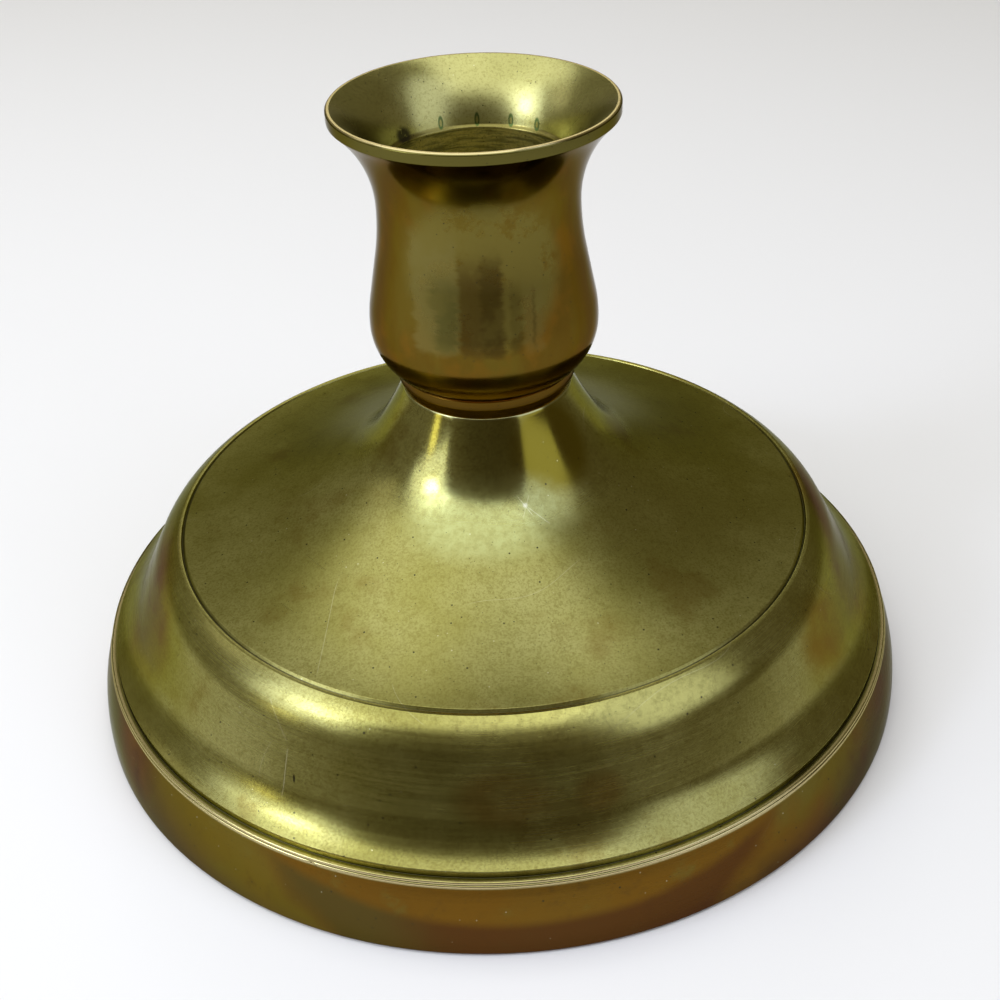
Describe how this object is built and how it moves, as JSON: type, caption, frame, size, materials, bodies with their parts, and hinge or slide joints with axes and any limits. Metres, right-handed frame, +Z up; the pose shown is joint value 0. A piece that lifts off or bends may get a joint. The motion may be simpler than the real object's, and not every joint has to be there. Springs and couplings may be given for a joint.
{
  "type": "candlestick",
  "caption": "Low candlestick: a flared tulip cup bolted to the swept neck of a broad, hollow, moulded foot.",
  "frame": {"origin": "centre of the foot, on the surface that the candlestick stands on", "axes": "+Z up along the candle's axis; the piece is round, so X and Y are free"},
  "size_m": [0.12, 0.12, 0.0853],
  "materials": {
    "base_brass": "cast and turned brass, satin, olive tarnish",
    "cup_brass": "turned brass, browner patina, worn shine",
    "fixing_steel": "dull plated steel"
  },
  "bodies": {
    "root": {"base": "base_brass", "candle_cup": "cup_brass", "tie_stud": "fixing_steel", "plain_washer": "fixing_steel", "hex_nut": "fixing_steel"}
  },
  "joints": []
}
